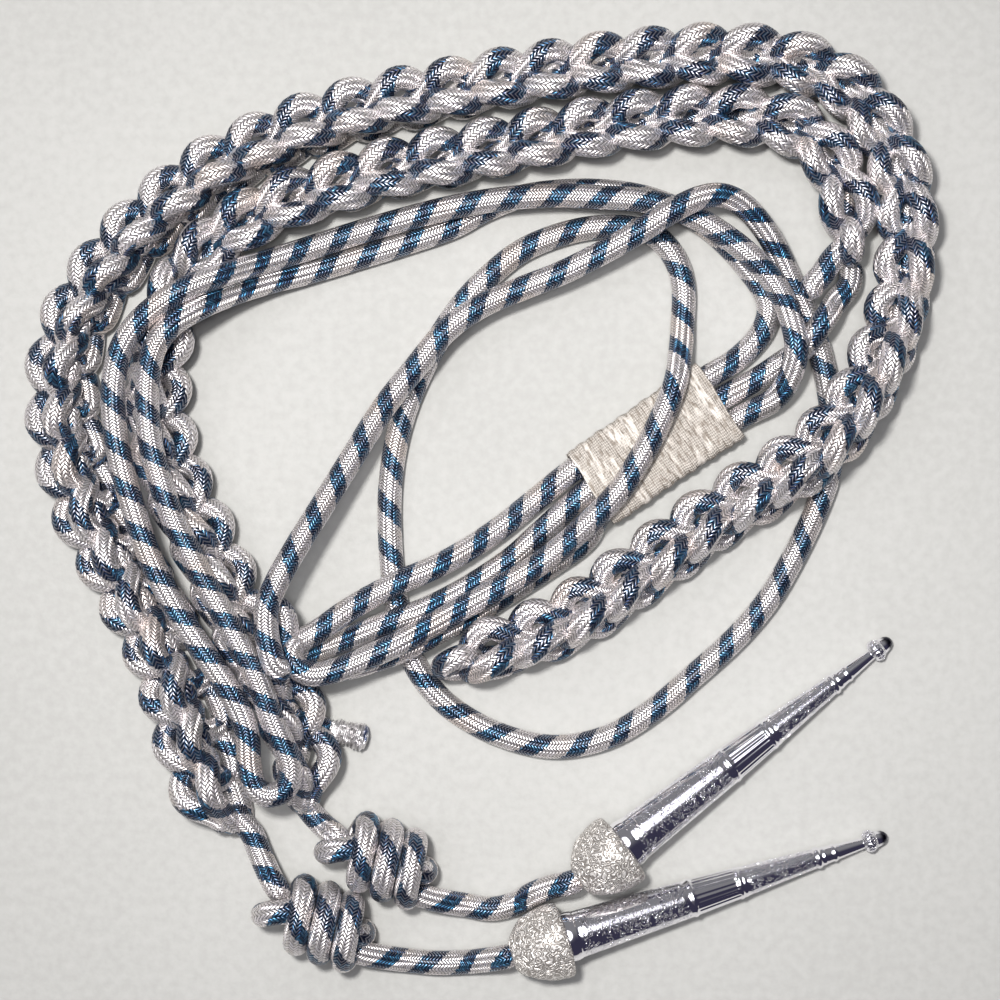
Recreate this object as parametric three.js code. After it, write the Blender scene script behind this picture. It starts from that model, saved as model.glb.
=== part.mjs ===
import * as THREE from 'three';

// An aiguillette lying flat on z = 0, in millimetres, +Z up, seen from above with +Y up the page.
// The origin is under the middle of the piece. Heights called levels count cord diameters.

// Driving dimensions.
const CORD_D = 6.0;              // braided wire cord
const CLEARANCE = 0.3;           // gap between pieces that touch
const STITCH = 12.4;             // run of one chain stitch of a plait
const PLAIT_BREADTH = 13.6;      // across the two rows of a plait's face
const PLAIT_DEPTH = 17.6;        // from a plait's face to the bumps on its back
const BAND_LENGTH = 39.0;        // ribbon band, along its cords
const BAND_WALL = 0.8;
const BAND_PLEAT = 0.5;          // how far a pleat stands out
const BAND_PLEATS = 6;
const BAND_SPACING = 6.4;        // between neighbouring cords in the band
const BAND_REACH = 1.0;          // straight run of its cords past each end
const KNOT_D = 20.6;
const KNOT_LENGTH = 23.0;
const KNOT_TURNS = 4;
const CAP_D = 19.0;
const CAP_LENGTH = 14.0;
const TAG_LENGTH = 84.0;
const TAG_BASE_D = 12.0;
const TAG_NECK_D = 2.7;
const TAG_BELT_LIFT = 0.25;      // how far the fluted belt stands out
const TAG_COLLAR_D = 5.6;
const BALL_D = 5.2;
const STUB_D = 6.8;
const STUB_LENGTH = 9.6;

const CORD_SIDES = 8;
const ROUND_SIDES = 14;
const HALF_CORD = 0.5;           // level of the middle of a cord above what it rests on
const LYING = 0.52;              // level of a cord that lies on the surface
const BAND_LEVEL = (BAND_WALL + CLEARANCE) / CORD_D + HALF_CORD;
const BAND_TOP = BAND_LEVEL + HALF_CORD + (CLEARANCE + BAND_WALL + BAND_PLEAT) / CORD_D;
const OVER_BAND = BAND_TOP + CLEARANCE / CORD_D + HALF_CORD;

// One stitch of a plait, repeated along it: share of the stitch, breadth and depth as shares.
const STITCH_SHAPE = [
  { at: 0.00, breadth: 0.88, depth: 0.95 },
  { at: 0.25, breadth: 0.97, depth: 1.00 },
  { at: 0.50, breadth: 1.04, depth: 0.99 },
  { at: 0.75, breadth: 0.98, depth: 0.95 },
];

// Cross section of a plait: x as a share of half its breadth, z as a share of its depth, counted
// from the middle of the section, with the valley of the face first.
const PLAIT_SECTION = [
  { x: 0.00, z: 0.40 }, { x: -0.56, z: 0.51 }, { x: -1.00, z: 0.15 },
  { x: -0.85, z: -0.22 }, { x: -0.42, z: -0.49 },
  { x: 0.42, z: -0.49 }, { x: 0.85, z: -0.22 }, { x: 1.00, z: 0.15 }, { x: 0.56, z: 0.51 },
];

// Routes of the plaits, chosen by hand: x and y of the middle, level of the underside, breadth as a
// share, and roll in degrees, where a positive roll turns the face to the left of the way along.
const LONG_PLAIT = [
  [-63.6, -78.8, 0, 0.62, 15], [-66.6, -72.5, 0, 0.88, 26], [-70.2, -62.5, 0, 1.02, 38],
  [-73.4, -51.5, 0, 1.08, 46], [-77.6, -38.5, 0, 1.04, 50], [-84.0, -26.0, 0, 1.00, 52],
  [-90.4, -14.0, 0, 1.00, 52], [-97.2, -1.0, 0, 1.00, 52], [-101.8, 13.5, 0, 1.00, 52],
  [-103.6, 27.0, 0, 1.00, 50], [-102.2, 39.0, 0, 1.00, 48], [-97.4, 50.0, 0, 1.00, 44],
  [-89.4, 61.2, 0, 1.00, 40], [-79.2, 71.6, 0, 1.00, 36], [-65.4, 81.8, 0, 1.00, 32],
  [-48.6, 89.8, 0, 1.00, 29], [-29.8, 96.2, 0, 1.00, 25], [-9.5, 100.6, 0, 1.00, 19],
  [14.0, 105.2, 0, 1.00, 12], [39.0, 109.0, 0, 1.00, 5], [64.0, 110.4, 0, 1.00, 0],
  [79.2, 108.0, 0, 1.00, -4], [91.0, 101.4, 0, 1.00, -8], [98.8, 91.2, 0, 1.00, -14],
  [103.8, 79.0, 0, 1.00, -20], [105.4, 66.0, 0, 1.00, -26], [104.2, 53.5, 0, 1.00, -32],
  [101.2, 42.5, 0.35, 1.02, -35], [96.2, 32.2, 1.12, 1.02, -37], [90.4, 21.8, 1.14, 1.04, -38],
  [81.0, 11.6, 1.10, 1.06, -39], [70.2, 4.0, 0.30, 1.08, -40], [59.5, -2.5, 0, 1.08, -40],
  [49.5, -9.8, 0, 1.08, -40], [38.5, -17.6, 0, 1.08, -40], [28.5, -25.0, 0, 1.08, -40],
  [17.5, -31.2, 0, 1.08, -38], [6.0, -35.6, 0, 1.05, -34], [-4.5, -38.6, 0, 0.98, -26],
  [-11.0, -39.6, 0, 0.80, -16],
];
const SHORT_PLAIT = [
  [-43.8, -73.4, 0, 0.85, -28], [-44.8, -67.0, 0, 1.12, -34], [-47.0, -57.5, 0, 1.18, -40],
  [-51.2, -47.0, 0, 1.12, -45], [-58.0, -35.0, 0, 1.00, -47], [-63.8, -23.5, 0, 1.00, -48],
  [-68.8, -12.0, 0, 1.00, -50], [-74.6, -0.5, 0, 1.00, -50], [-79.6, 11.0, 0, 1.00, -50],
  [-82.0, 23.5, 0, 1.00, -48], [-82.0, 36.0, 0, 1.00, -40], [-79.2, 47.6, 0, 1.00, -26],
  [-73.6, 57.4, 0, 0.98, -11], [-65.0, 65.3, 0, 0.98, 0], [-53.6, 71.8, 0, 0.98, 9],
  [-37.4, 77.2, 0, 1.00, 16], [-20.8, 81.8, 0, 1.00, 19], [-3.0, 85.4, 0, 1.00, 18],
  [15.0, 89.2, 0, 1.00, 14], [33.0, 93.0, 0, 1.00, 8], [51.2, 95.2, 0, 1.00, 3],
  [66.0, 95.2, 0, 1.00, 0], [77.4, 92.0, 0, 0.98, 0], [84.6, 85.2, 0, 0.96, 0],
  [88.4, 76.4, 0, 0.96, 0], [89.8, 68.0, 0, 0.96, 0], [89.6, 61.0, 0, 0.75, 0],
];

// Routes of the plain cords, chosen by hand: x, y and level of the middle of the cord.
const RING_CORD = [
  [-51.2, -36.2, 3.82], [-52.4, -30.2, 3.80], [-52.4, -24.4, 3.78], [-50.2, -18.6, 3.62],
  [-45.4, -9.8, 3.35], [-39.8, -0.6, 3.00], [-32.6, 11.2, 2.60], [-24.6, 24.2, 2.25],
  [-16.6, 34.4, 2.05], [-9.2, 43.2, 1.95], [-0.6, 49.2, 1.90], [9.2, 53.4, 1.90],
  [19.0, 57.2, 2.00], [28.8, 62.0, 2.20], [38.2, 67.2, 2.50], [46.0, 72.0, 2.72],
  [52.2, 75.0, 2.62], [57.6, 76.0, 2.30], [62.8, 74.4, 1.85], [67.2, 70.6, 1.40],
  [71.2, 65.4, 1.00], [75.0, 58.4, 0.62], [77.8, 52.6, LYING], [80.6, 46.6, LYING],
  [83.0, 39.8, LYING], [84.8, 32.2, LYING], [86.0, 24.8, LYING], [86.4, 16.0, LYING],
  [85.4, 7.5, LYING], [82.8, 0.0, LYING], [76.6, -13.0, LYING], [70.4, -23.4, LYING],
  [62.4, -32.8, LYING], [52.0, -42.2, LYING], [42.6, -50.2, LYING], [30.6, -57.4, LYING],
  [17.2, -59.9, LYING], [4.0, -57.0, LYING], [-7.0, -51.2, LYING], [-13.4, -45.4, LYING],
  [-17.6, -39.0, LYING], [-20.6, -30.8, LYING], [-22.6, -20.0, LYING], [-23.6, -8.0, LYING],
  [-23.6, 4.0, LYING], [-22.2, 15.0, LYING], [-19.2, 25.5, LYING], [-15.0, 35.0, LYING],
  [-10.0, 44.0, LYING], [-4.5, 51.5, LYING], [2.0, 58.0, LYING], [9.0, 63.4, LYING],
  [17.8, 67.2, LYING], [26.5, 69.2, LYING], [34.5, 69.4, LYING], [41.0, 68.0, LYING],
  [45.2, 64.6, LYING], [48.0, 60.0, LYING], [49.4, 54.0, LYING], [49.2, 46.5, 0.60],
  [48.4, 38.5, 1.10], [46.6, 29.8, OVER_BAND], [42.8, 20.5, OVER_BAND], [38.0, 11.5, OVER_BAND],
  [32.8, 3.5, OVER_BAND], [26.8, -2.8, 1.90], [19.4, -9.6, 1.68], [12.0, -15.2, 1.65],
  [4.8, -19.4, 1.68], [-5.0, -24.8, 1.92], [-13.5, -29.4, 2.34], [-21.0, -33.4, 2.75],
  [-28.5, -36.8, 2.85], [-36.0, -39.8, 2.90], [-42.0, -40.8, 2.95], [-46.0, -38.8, 3.00],
];
const PAIR_CORD_IN = [
  [-44.2, -32.6, 2.20], [-39.6, -29.8, 2.10], [-33.0, -25.2, 1.85], [-21.2, -18.8, 1.62],
  [-13.0, -15.4, 1.40], [-5.0, -11.2, 1.00], [3.0, -6.0, 0.70], [12.2, 1.2, LYING],
];
const PAIR_CORD = [
  [62.2, 36.2, LYING], [66.4, 40.0, LYING], [69.4, 44.2, LYING], [70.6, 49.2, LYING],
  [69.0, 54.0, LYING], [65.8, 58.6, LYING], [61.0, 64.2, LYING], [54.4, 70.0, LYING],
  [46.6, 74.4, LYING], [38.0, 77.2, LYING], [28.0, 78.4, LYING], [18.0, 78.2, LYING],
  [8.6, 76.8, LYING], [0.0, 73.6, LYING], [-8.0, 69.4, LYING], [-19.0, 65.6, LYING],
  [-32.0, 61.6, LYING], [-44.6, 57.8, 0.70], [-53.6, 55.2, 1.25], [-62.2, 51.8, 2.10],
  [-69.6, 47.8, 3.10], [-75.4, 43.8, 3.50], [-79.4, 38.6, 3.50], [-81.3, 31.0, 3.44],
  [-80.9, 17.0, 3.44], [-78.4, 6.6, 3.44], [-75.2, -3.0, 3.44], [-71.4, -10.6, 3.44],
  [-67.4, -18.6, 3.44], [-62.6, -27.0, 3.44], [-58.2, -35.2, 3.44], [-54.2, -43.2, 3.44],
  [-51.4, -51.4, 3.42], [-48.4, -58.0, 3.38], [-46.8, -64.2, 3.36], [-48.4, -68.6, 3.34],
  [-51.8, -70.4, 3.34], [-55.2, -68.4, 3.34], [-56.8, -62.8, 3.36], [-57.4, -54.4, 3.40],
  [-60.6, -46.4, 3.44], [-66.0, -37.8, 3.44], [-71.6, -29.4, 3.44], [-77.0, -20.2, 3.44],
  [-81.2, -11.2, 3.44], [-84.6, -1.0, 3.44], [-87.4, 8.8, 3.44], [-89.2, 18.6, 3.44],
  [-89.6, 29.4, 3.44], [-87.8, 37.8, 3.44], [-83.8, 44.0, 3.55], [-78.0, 49.0, 3.62],
  [-71.0, 53.0, 3.55], [-63.6, 56.0, 3.10], [-55.2, 59.4, 2.00], [-45.0, 63.0, 1.45],
  [-33.0, 67.0, 1.25], [-17.6, 71.4, 1.30], [-8.6, 73.4, 1.58], [3.0, 75.4, 1.62],
  [16.0, 76.4, 1.62], [28.4, 76.0, 1.62], [40.0, 75.0, 1.62], [50.6, 71.6, 1.60],
  [57.6, 67.6, 1.60], [64.0, 62.8, 1.60], [69.2, 57.6, 1.60], [73.2, 51.6, 1.62],
  [75.2, 45.4, 2.02], [76.2, 38.8, 2.34], [75.2, 32.6, 1.86], [72.0, 26.8, 1.10],
];
const PAIR_CORD_OUT = [
  [25.2, -8.2, LYING], [16.0, -15.0, LYING], [7.0, -20.8, LYING], [-2.0, -26.4, 0.60],
  [-10.5, -30.8, 1.05], [-18.0, -34.4, 1.62], [-26.0, -37.6, 1.70], [-35.0, -40.0, 1.75],
];
const TAIL_CORD = [
  [90.2, 54.6, 0.90], [86.8, 50.6, 1.15], [83.8, 46.2, 1.68], [81.0, 42.4, 1.70],
  [78.2, 38.6, 1.14], [74.2, 35.9, 0.60], [69.4, 32.6, LYING], [64.6, 29.8, LYING],
];
const TAIL_CORD_OUT = [
  [13.4, -7.0, LYING], [7.2, -12.6, 0.54], [-0.9, -18.2, 0.75], [-8.6, -22.6, 1.15],
  [-15.0, -25.6, 1.55], [-21.2, -27.8, 1.64], [-28.0, -30.4, 1.48], [-34.8, -33.2, 1.05],
  [-39.8, -35.0, 0.90],
];
const TAIL_BIGHT = [
  [85.6, 60.8, 1.50], [83.0, 57.0, 1.55], [80.8, 54.4, 1.62], [79.4, 50.8, 1.66],
];
const FOOT_BIGHT = [
  [-52.2, -23.8, 2.70], [-49.8, -24.4, 2.66], [-48.6, -27.2, 2.62], [-48.3, -30.4, 2.60],
  [-49.4, -33.4, 2.62], [-51.2, -35.0, 2.70],
];
const LONG_PLAIT_TAIL = [
  [-57.8, -80.8, 1.00], [-56.2, -84.6, 1.00], [-54.4, -88.4, 1.20], [-51.7, -92.9, 1.72],
];
const SHORT_PLAIT_TAIL = [
  [-43.5, -75.5, 0.80], [-40.6, -78.6, 0.90], [-38.2, -80.2, 1.20], [-37.8, -80.2, 1.40],
];
const TAG_CORD_1 = [
  [-14.4, -96.6, 1.20], [-10.6, -97.8, 0.95], [-5.0, -99.2, LYING], [1.5, -100.2, LYING],
  [7.4, -98.9, LYING], [12.3, -95.7, 1.08], [17.0, -93.7, 1.40], [20.9, -92.7, 1.62],
];
const TAG_CORD_2 = [
  [-29.6, -110.6, 1.20], [-25.8, -111.6, 0.95], [-20.0, -112.9, LYING], [-12.0, -113.6, LYING],
  [-5.0, -113.4, LYING], [0.2, -112.4, 0.95], [4.6, -111.2, 1.45],
];

// Whipped stub: middle of its inner end and its heading in degrees.
const STUB_PLACE = { x: -38.2, y: -55.6, heading: -14 };

// Ribbon band: middle of its underside and the heading of its cords in degrees.
const BAND_PLACE = { x: 42.2, y: 15.2, heading: 34.6 };

// Knots, caps and tags: where each sits on the surface and where it heads.
const KNOTS = {
  knot_1: { x: -24.9, y: -86.7, heading: -17 },
  knot_2: { x: -40.3, y: -102.1, heading: -17 },
};
const TAGS = {
  1: { baseX: 34.3, baseY: -83.6, tipX: 99.2, tipY: -34.6 },
  2: { baseX: 20.0, baseY: -106.2, tipX: 98.7, tipY: -82.5 },
};

// Outline of a barrel knot over one turn: share of the turn, and radius as a share.
const KNOT_TURN = [{ at: 0.0, radius: 0.80 }, { at: 0.5, radius: 1.0 }];
const KNOT_TAPER = 0.16;         // how much the end turns are smaller

// Outline of a cap: share of its length from the cord's side, and radius as a share.
const CAP_OUTLINE = [
  { at: 0.00, radius: 0.44 }, { at: 0.12, radius: 0.66 }, { at: 0.32, radius: 0.88 },
  { at: 0.58, radius: 0.98 }, { at: 0.84, radius: 1.00 }, { at: 1.00, radius: 0.93 },
];

// Outline of a tag from its base: share of its length, what the radius follows and its share.
const TAG_BODY = [
  { at: 0.000, share: 1.00, lift: 0 }, { at: 0.030, share: 1.00, lift: 0 },
  { at: 0.034, share: 0.97, lift: 0 }, { at: 0.375, share: 0.775, lift: 0 },
  { at: 0.385, share: 0.77, lift: 1 }, { at: 0.535, share: 0.63, lift: 1 },
  { at: 0.545, share: 0.62, lift: 0 }, { at: 0.775, share: 0.39, lift: 0 },
  { at: 0.785, share: 0.38, lift: 1 }, { at: 0.800, share: 0.36, lift: 0 },
];
const TAG_COLLAR_AT = 0.925;
const TAG_COLLAR_LENGTH = 3.0;

const cordMaterial = new THREE.MeshStandardMaterial({ color: 0xb9b4b2, roughness: 0.42, metalness: 0.55 });
const plaitMaterial = new THREE.MeshStandardMaterial({ color: 0xb2adae, roughness: 0.45, metalness: 0.55 });
const netMaterial = new THREE.MeshStandardMaterial({ color: 0xb8b5ac, roughness: 0.5, metalness: 0.6 });
const tagMaterial = new THREE.MeshStandardMaterial({ color: 0xc4c4cc, roughness: 0.15, metalness: 1.0 });
const ribbonMaterial = new THREE.MeshStandardMaterial({ color: 0xcbc6bd, roughness: 0.4, metalness: 0.5 });
const threadMaterial = new THREE.MeshStandardMaterial({ color: 0xd2cfcc, roughness: 0.6, metalness: 0.4 });

const radians = THREE.MathUtils.degToRad;

function named(name, geometry, material) {
  const mesh = new THREE.Mesh(geometry, material.clone());
  mesh.name = name;
  return mesh;
}

// A smooth curve whose even parameter steps fall on the chosen points, dense where they are dense.
class Route extends THREE.CatmullRomCurve3 {
  constructor(points) {
    super(points, false, 'centripetal');
  }

  getUtoTmapping(u) {
    return u;
  }
}

function routePoint([x, y, level]) {
  return new THREE.Vector3(x, y, level * CORD_D);
}

function cordGeometry(rows) {
  const section = new THREE.Shape();
  for (let i = 0; i < CORD_SIDES; i += 1) {
    const angle = (i + 0.5) * 2 * Math.PI / CORD_SIDES;
    const x = 0.5 * CORD_D * Math.cos(angle);
    const y = 0.5 * CORD_D * Math.sin(angle);
    if (i === 0) section.moveTo(x, y);
    else section.lineTo(x, y);
  }
  section.closePath();
  const route = new Route(rows.map(routePoint));
  return new THREE.ExtrudeGeometry(section, { steps: rows.length - 1, extrudePath: route });
}

// Closed solid through rings of equal count, each ring turning left seen along the way.
function loft(rings) {
  const count = rings[0].length;
  const positions = rings.flat().flatMap((p) => [p.x, p.y, p.z]);
  const faces = [];
  for (let r = 0; r + 1 < rings.length; r += 1) {
    for (let i = 0; i < count; i += 1) {
      const a = r * count + i;
      const b = r * count + (i + 1) % count;
      faces.push(a, b, b + count, a, b + count, a + count);
    }
  }
  const last = (rings.length - 1) * count;
  for (let i = 1; i + 1 < count; i += 1) {
    faces.push(0, i + 1, i);
    faces.push(last, last + i, last + i + 1);
  }
  const geometry = new THREE.BufferGeometry();
  geometry.setAttribute('position', new THREE.Float32BufferAttribute(positions, 3));
  geometry.setIndex(faces);
  return geometry;
}

// One section of a plait, rolled and set down so that its lowest point is at the given level.
function plaitRing(middle, heading, level, breadth, roll, shape) {
  const left = new THREE.Vector3(-heading.y, heading.x, 0).normalize();
  const turned = PLAIT_SECTION.map(({ x, z }) => {
    const across = 0.5 * x * PLAIT_BREADTH * breadth * shape.breadth;
    const up = z * PLAIT_DEPTH * shape.depth;
    return {
      across: across * Math.cos(roll) + up * Math.sin(roll),
      up: up * Math.cos(roll) - across * Math.sin(roll),
    };
  });
  const lowest = Math.min(...turned.map((p) => p.up));
  return turned.map(({ across, up }) => new THREE.Vector3(
    middle.x + left.x * across,
    middle.y + left.y * across,
    level * CORD_D + up - lowest,
  ));
}

function plaitGeometry(rows) {
  const middle = new THREE.CatmullRomCurve3(
    rows.map(([x, y]) => new THREE.Vector3(x, y, 0)), false, 'centripetal',
  );
  const manner = rows.map(([, , level, breadth, roll]) => new THREE.Vector3(level, breadth, radians(roll)));
  const stitches = Math.round(middle.getLength() / STITCH);
  const rings = [];
  for (let k = 0; k < stitches; k += 1) {
    for (const shape of STITCH_SHAPE) {
      const u = (k + shape.at) / stitches;
      const t = middle.getUtoTmapping(u);
      const { x: level, y: breadth, z: roll } = straight(manner, t);
      rings.push(plaitRing(middle.getPoint(t), middle.getTangent(t), level, breadth, roll, shape));
    }
  }
  return loft(rings);
}

// Straight interpolation in a list of points, with t from 0 at the first to 1 at the last.
function straight(points, t) {
  const place = t * (points.length - 1);
  const k = Math.min(Math.floor(place), points.length - 2);
  return points[k].clone().lerp(points[k + 1], place - k);
}

// A round solid from an outline of radius against distance, lying along +X from the origin.
function turnedGeometry(outline, sides) {
  const points = outline.map(({ distance, radius }) => new THREE.Vector2(radius, distance));
  const length = outline[outline.length - 1].distance;
  const profile = [new THREE.Vector2(0, outline[0].distance), ...points, new THREE.Vector2(0, length)];
  return new THREE.LatheGeometry(profile, sides).rotateZ(-Math.PI / 2);
}

function knotGeometry() {
  const outline = [];
  for (let turn = 0; turn < KNOT_TURNS; turn += 1) {
    for (const { at, radius } of KNOT_TURN) {
      const share = (turn + at) / KNOT_TURNS;
      const taper = 1 - KNOT_TAPER * (2 * share - 1) ** 2;
      outline.push({ distance: share * KNOT_LENGTH, radius: 0.5 * KNOT_D * radius * taper });
    }
  }
  outline.push({ distance: KNOT_LENGTH, radius: 0.5 * KNOT_D * KNOT_TURN[0].radius * (1 - KNOT_TAPER) });
  return turnedGeometry(outline, ROUND_SIDES).translate(-0.5 * KNOT_LENGTH, 0, 0);
}

function capGeometry() {
  return turnedGeometry(CAP_OUTLINE.map(({ at, radius }) => ({
    distance: (at - 1) * CAP_LENGTH - 0.5 * CLEARANCE,
    radius: 0.5 * CAP_D * radius,
  })), ROUND_SIDES);
}

function tagGeometry() {
  const start = 0.5 * CLEARANCE;
  const outline = TAG_BODY.map(({ at, share, lift }) => ({
    distance: start + at * TAG_LENGTH,
    radius: 0.5 * TAG_BASE_D * share + lift * TAG_BELT_LIFT,
  }));
  const collar = start + TAG_COLLAR_AT * TAG_LENGTH;
  outline.push({ distance: collar, radius: 0.5 * TAG_NECK_D });
  outline.push({ distance: collar, radius: 0.42 * TAG_COLLAR_D });
  outline.push({ distance: collar + 0.4 * TAG_COLLAR_LENGTH, radius: 0.5 * TAG_COLLAR_D });
  outline.push({ distance: collar + TAG_COLLAR_LENGTH, radius: 0.4 * TAG_COLLAR_D });
  const end = start + TAG_LENGTH;
  for (const [back, share] of [[0.62, 0.97], [0.36, 0.84], [0.12, 0.46]]) {
    outline.push({ distance: end - back * BALL_D, radius: 0.5 * BALL_D * share });
  }
  return turnedGeometry(outline, ROUND_SIDES);
}

// The axis of a tag and its cap, from the middle of the base down to the middle of the ball.
function tagFrame({ baseX, baseY, tipX, tipY }) {
  const frame = new THREE.Group();
  const run = Math.hypot(tipX - baseX, tipY - baseY);
  const drop = 0.5 * (CAP_D - BALL_D);
  frame.position.set(baseX, baseY, 0.5 * CAP_D);
  frame.rotation.set(0, Math.asin(drop / run), Math.atan2(tipY - baseY, tipX - baseX), 'ZYX');
  return frame;
}

// Ribbon band: a flat sleeve with pleats across its top and sides, open at both ends.
function bandGeometry() {
  const halfCords = BAND_SPACING + 0.5 * CORD_D + CLEARANCE;
  const inner = { half: halfCords, low: BAND_WALL, high: BAND_WALL + CORD_D + 2 * CLEARANCE };
  const outer = { half: halfCords + BAND_WALL, low: 0, high: inner.high + BAND_WALL };
  const corners = [
    [-0.82, 0], [0.82, 0], [1, 0.3], [1, 0.7], [0.82, 1], [-0.82, 1], [-1, 0.7], [-1, 0.3],
  ];
  const ring = (along, box, puff) => corners.map(([side, rise]) => new THREE.Vector3(
    along,
    -side * (box.half + puff),
    box.low + rise * (box.high - box.low + puff),
  ));
  const steps = 2 * BAND_PLEATS;
  const rings = [];
  for (let k = 0; k <= steps; k += 1) {
    const along = (k / steps - 0.5) * BAND_LENGTH;
    rings.push(ring(along, outer, (k % 2) * BAND_PLEAT));
  }
  rings.push(ring(0.5 * BAND_LENGTH, inner, 0));
  rings.push(ring(-0.5 * BAND_LENGTH, inner, 0));
  return sleeve(rings);
}

// Closed ring-shaped solid: the rings run out along the outside and back along the inside.
function sleeve(rings) {
  const count = rings[0].length;
  const positions = rings.flat().flatMap((p) => [p.x, p.y, p.z]);
  const faces = [];
  for (let r = 0; r < rings.length; r += 1) {
    const next = (r + 1) % rings.length;
    for (let i = 0; i < count; i += 1) {
      const j = (i + 1) % count;
      faces.push(r * count + i, next * count + i, next * count + j);
      faces.push(r * count + i, next * count + j, r * count + j);
    }
  }
  const geometry = new THREE.BufferGeometry();
  geometry.setAttribute('position', new THREE.Float32BufferAttribute(positions, 3));
  geometry.setIndex(faces);
  return geometry;
}

// A place in the band, from its middle: distance along its cords and to their left.
function bandPoint(along, left, level) {
  const heading = radians(BAND_PLACE.heading);
  return [
    BAND_PLACE.x + along * Math.cos(heading) - left * Math.sin(heading),
    BAND_PLACE.y + along * Math.sin(heading) + left * Math.cos(heading),
    level,
  ];
}

// The straight stretch of a cord through the band, from its lower left to its upper right end.
function throughBand(left) {
  const reach = 0.5 * BAND_LENGTH + BAND_REACH;
  return [-reach, 0, reach].map((along) => bandPoint(along, left, BAND_LEVEL));
}

const aiguillette = new THREE.Group();

aiguillette.add(named('long_plait', plaitGeometry(LONG_PLAIT), plaitMaterial));
aiguillette.add(named('short_plait', plaitGeometry(SHORT_PLAIT), plaitMaterial));

const pairRoute = [
  ...PAIR_CORD_IN, ...throughBand(BAND_SPACING), ...PAIR_CORD,
  ...throughBand(-BAND_SPACING).reverse(), ...PAIR_CORD_OUT,
];
const tailRoute = [...TAIL_CORD, ...throughBand(0).reverse(), ...TAIL_CORD_OUT];
const cords = {
  ring_cord: RING_CORD,
  pair_cord: pairRoute,
  tail_cord: tailRoute,
  tail_bight: TAIL_BIGHT,
  foot_bight: FOOT_BIGHT,
  long_plait_tail: LONG_PLAIT_TAIL,
  short_plait_tail: SHORT_PLAIT_TAIL,
  tag_cord_1: TAG_CORD_1,
  tag_cord_2: TAG_CORD_2,
};
for (const [name, rows] of Object.entries(cords)) {
  aiguillette.add(named(name, cordGeometry(rows), cordMaterial));
}

for (const [name, { x, y, heading }] of Object.entries(KNOTS)) {
  const knot = named(name, knotGeometry(), plaitMaterial);
  knot.position.set(x, y, 0.5 * KNOT_D);
  knot.rotation.z = radians(heading);
  aiguillette.add(knot);
}

for (const [number, place] of Object.entries(TAGS)) {
  const frame = tagFrame(place);
  frame.add(named(`net_cap_${number}`, capGeometry(), netMaterial));
  frame.add(named(`tag_${number}`, tagGeometry(), tagMaterial));
  aiguillette.add(frame);
}

const band = named('ribbon_band', bandGeometry(), ribbonMaterial);
band.position.set(BAND_PLACE.x, BAND_PLACE.y, 0);
band.rotation.z = radians(BAND_PLACE.heading);
aiguillette.add(band);

const stub = named('stub_end', turnedGeometry([
  { distance: 0, radius: 0.46 * STUB_D },
  { distance: 0.2 * STUB_LENGTH, radius: 0.5 * STUB_D },
  { distance: 0.8 * STUB_LENGTH, radius: 0.5 * STUB_D },
  { distance: STUB_LENGTH, radius: 0.38 * STUB_D },
], ROUND_SIDES), threadMaterial);
stub.position.set(STUB_PLACE.x, STUB_PLACE.y, 0.5 * STUB_D);
stub.rotation.z = radians(STUB_PLACE.heading);
aiguillette.add(stub);

export default aiguillette;
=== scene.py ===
import math

import bpy
import numpy as np
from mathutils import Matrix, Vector


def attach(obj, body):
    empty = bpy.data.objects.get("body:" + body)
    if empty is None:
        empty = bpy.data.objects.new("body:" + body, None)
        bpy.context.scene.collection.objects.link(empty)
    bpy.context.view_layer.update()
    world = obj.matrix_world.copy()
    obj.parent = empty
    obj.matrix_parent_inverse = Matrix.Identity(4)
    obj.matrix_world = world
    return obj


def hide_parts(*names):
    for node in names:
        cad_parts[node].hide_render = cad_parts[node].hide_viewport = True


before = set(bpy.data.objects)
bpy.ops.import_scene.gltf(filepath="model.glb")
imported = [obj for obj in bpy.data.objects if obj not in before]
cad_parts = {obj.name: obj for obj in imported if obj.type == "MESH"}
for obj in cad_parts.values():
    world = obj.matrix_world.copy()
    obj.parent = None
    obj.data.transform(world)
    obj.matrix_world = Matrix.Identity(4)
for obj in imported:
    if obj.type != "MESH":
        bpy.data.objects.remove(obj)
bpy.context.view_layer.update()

# Sizes in millimetres, as in the part; MM turns them into metres.
MM = 0.001
CORD_D = 6.0
CLEARANCE = 0.3
STITCH = 12.4
PLAIT_BREADTH = 13.6
PLAIT_DEPTH = 17.6
BAND_LENGTH = 39.0
BAND_WALL = 0.8
BAND_PLEAT = 0.5
BAND_SPACING = 6.4
KNOT_D = 20.6
CAP_D = 19.0
TAG_LENGTH = 84.0
TAG_BASE_D = 12.0
TAG_NECK_D = 2.7
TAG_COLLAR_D = 5.6
BALL_D = 5.2
STUB_D = 6.8

# Levels of a cord's middle, in cord diameters.
HALF_CORD = 0.5
LYING = 0.52
BAND_LEVEL = (BAND_WALL + CLEARANCE) / CORD_D + HALF_CORD
BAND_TOP = BAND_LEVEL + HALF_CORD + (CLEARANCE + BAND_WALL + BAND_PLEAT) / CORD_D
OVER_BAND = BAND_TOP + CLEARANCE / CORD_D + HALF_CORD

# Places as x, y and heading in degrees; a tag has the x and y of its base and of its tip.
BAND_PLACE = (42.2, 15.2, 34.6)
STUB_PLACE = (-38.2, -55.6, -14.0)
KNOTS = {"knot_1": (-24.9, -86.7, -17.0), "knot_2": (-40.3, -102.1, -17.0)}
TAGS = {1: (34.3, -83.6, 99.2, -34.6), 2: (20.0, -106.2, 98.7, -82.5)}

# Camera above the middle of the picture; the picture is 250 mm wide on the surface.
VIEW_X, VIEW_Y, VIEW_HEIGHT, VIEW_WIDTH = 3.75, 1.5, 600.0, 250.0
SENSOR = 36.0

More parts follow.
